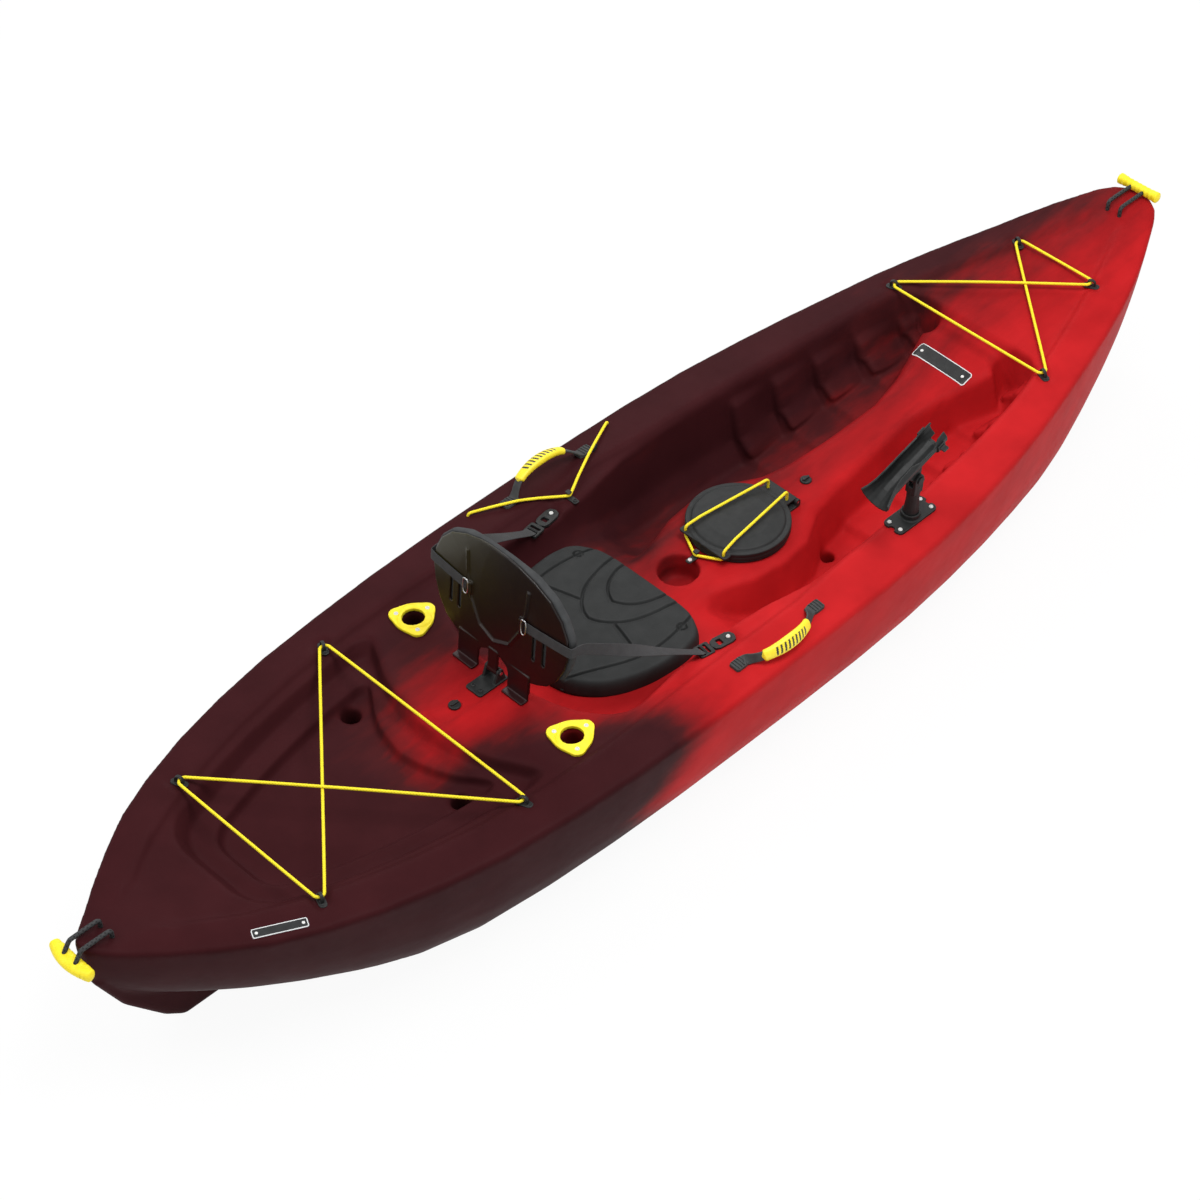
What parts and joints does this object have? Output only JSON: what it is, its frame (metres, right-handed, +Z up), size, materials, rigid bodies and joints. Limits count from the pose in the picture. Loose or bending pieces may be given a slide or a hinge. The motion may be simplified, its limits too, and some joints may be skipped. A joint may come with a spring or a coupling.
{
  "type": "fishing kayak",
  "caption": "Sit-on-top fishing kayak with a moulded hull, tank well, folding seat, round hatch, flush rod tubes, a swivelling rod holder, bungee lacing and carry handles.",
  "frame": {"origin": "on the ground under the middle of the flat keel, half way along the hull", "axes": "+X to the bow, +Y to port, +Z up"},
  "size_m": [3.0912, 0.7874, 0.6421],
  "materials": {
    "hull_plastic": "rotomoulded, satin, fading from bright red at the bow to dark maroon at the stern",
    "black_plastic": "moulded, satin",
    "yellow_plastic": "smooth",
    "pad_foam": "moulded foam skin with channels, satin",
    "grey_foam": "dense closed-cell foam",
    "yellow_cord": "braided sheath",
    "black_webbing": "woven",
    "black_rubber": "soft",
    "steel": "bright"
  },
  "bodies": {
    "hull_body": {"bow_bungee": "yellow_cord", "bow_eye_port_aft": "black_plastic", "bow_eye_port_fore": "black_plastic", "bow_eye_starboard_aft": "black_plastic", "bow_eye_starboard_fore": "black_plastic", "hatch_bungee": "yellow_cord", "hatch_gasket": "black_rubber", "hatch_hinge_pin": "steel", "hatch_hook": "black_plastic", "hatch_hook_screw": "steel", "hatch_rim": "black_plastic", "hull": "hull_plastic", "paddle_keeper_bungee": "yellow_cord", "paddle_keeper_hook": "black_plastic", "paddle_keeper_hook_screw": "steel", "rod_holder_base": "black_plastic", "rod_holder_screw_aft_inner": "steel", "rod_holder_screw_aft_outer": "steel", "rod_holder_screw_fore_inner": "steel", "rod_holder_screw_fore_outer": "steel", "rod_tube_bezel_port": "yellow_plastic", "rod_tube_bezel_starboard": "yellow_plastic", "seat_bracket": "black_plastic", "seat_bracket_screw_port": "steel", "seat_bracket_screw_starboard": "steel", "seat_pad": "pad_foam", "seat_pivot_pin": "steel", "stern_bungee": "yellow_cord", "stern_eye_port_aft": "black_plastic", "stern_eye_port_fore": "black_plastic", "stern_eye_starboard_aft": "black_plastic", "stern_eye_starboard_fore": "black_plastic", "strap_anchor_port": "black_plastic", "strap_anchor_starboard": "black_plastic", "strap_buckle_port": "black_plastic", "strap_buckle_starboard": "black_plastic", "strap_port": "black_webbing", "strap_screw_port": "steel", "strap_screw_starboard": "steel", "strap_starboard": "black_webbing"},
    "backrest": {"seat_back_shell": "black_plastic", "seat_back_foam": "grey_foam"},
    "hatch_cover": {"hatch_lid": "black_plastic"},
    "rod_post": {"rod_holder_post": "black_plastic", "rod_holder_bolt": "black_plastic"},
    "rod_rest": {"rod_holder_cradle": "black_plastic"},
    "rod_collar": {"rod_holder_collar": "black_plastic"},
    "side_handle_port": {"side_handle_strap_port": "black_plastic", "side_handle_grip_port": "yellow_plastic"},
    "side_handle_starboard": {"side_handle_strap_starboard": "black_plastic", "side_handle_grip_starboard": "yellow_plastic"},
    "bow_handle": {"bow_handle_rope": "black_webbing", "bow_handle_grip": "yellow_plastic"},
    "stern_handle": {"stern_handle_rope": "black_webbing", "stern_handle_grip": "yellow_plastic"},
    "stern_plug": {"drain_plug_stern": "black_plastic"},
    "bow_plug": {"drain_plug_bow": "black_plastic"}
  },
  "joints": [
    {"name": "backrest_fold", "type": "hinge", "parent": "hull_body", "child": "backrest", "pos_m": [-0.497, 0, 0.3388], "axis": [0, 1, 0], "range_deg": [0, 78], "deforming": ["strap_port", "strap_starboard"]},
    {"name": "hatch_lid_hinge", "type": "hinge", "parent": "hull_body", "child": "hatch_cover", "pos_m": [0.34, 0, 0.274], "axis": [0, 1, 0], "range_deg": [0, 100], "deforming": ["hatch_bungee"]},
    {"name": "rod_holder_swivel", "type": "hinge", "parent": "hull_body", "child": "rod_post", "pos_m": [0.41103, -0.28995, 0.34775], "axis": [-0.0185, -0.058, 0.9981], "range_deg": [-180, 180]},
    {"name": "rod_holder_tilt", "type": "hinge", "parent": "rod_post", "child": "rod_rest", "pos_m": [0.40891, -0.29662, 0.46253], "axis": [0.0011, -0.9983, -0.058], "range_deg": [-20, 45]},
    {"name": "rod_collar_turn", "type": "hinge", "parent": "rod_rest", "child": "rod_collar", "pos_m": [0.43228, -0.30146, 0.5464], "axis": [0.9332, -0.0198, 0.3588], "range_deg": [0, 120]},
    {"name": "side_handle_port_lift", "type": "hinge", "parent": "hull_body", "child": "side_handle_port", "pos_m": [-0.0405, 0.3306, 0.3426], "axis": [-0.9997, 0, -0.0228], "range_deg": [-12, 50], "deforming": ["side_handle_strap_port"]},
    {"name": "side_handle_starboard_lift", "type": "hinge", "parent": "hull_body", "child": "side_handle_starboard", "pos_m": [-0.0405, -0.3306, 0.3426], "axis": [0.9997, 0, 0.0228], "range_deg": [-60, 5], "deforming": ["side_handle_strap_starboard"]},
    {"name": "bow_handle_swing", "type": "hinge", "parent": "hull_body", "child": "bow_handle", "pos_m": [1.425, 0, 0.432], "axis": [0, -1, 0], "range_deg": [0, 100], "deforming": ["bow_handle_rope"]},
    {"name": "stern_handle_swing", "type": "hinge", "parent": "hull_body", "child": "stern_handle", "pos_m": [-1.463, 0, 0.348], "axis": [0, 1, 0], "range_deg": [0, 90], "deforming": ["stern_handle_rope"]},
    {"name": "stern_plug_turn", "type": "hinge", "parent": "hull_body", "child": "stern_plug", "pos_m": [-0.604, 0, 0.3125], "axis": [0, 0, 1], "range_deg": [0, 350]},
    {"name": "bow_plug_turn", "type": "hinge", "parent": "hull_body", "child": "bow_plug", "pos_m": [0.414, 0, 0.259], "axis": [0, 0, 1], "range_deg": [0, 350]}
  ]
}
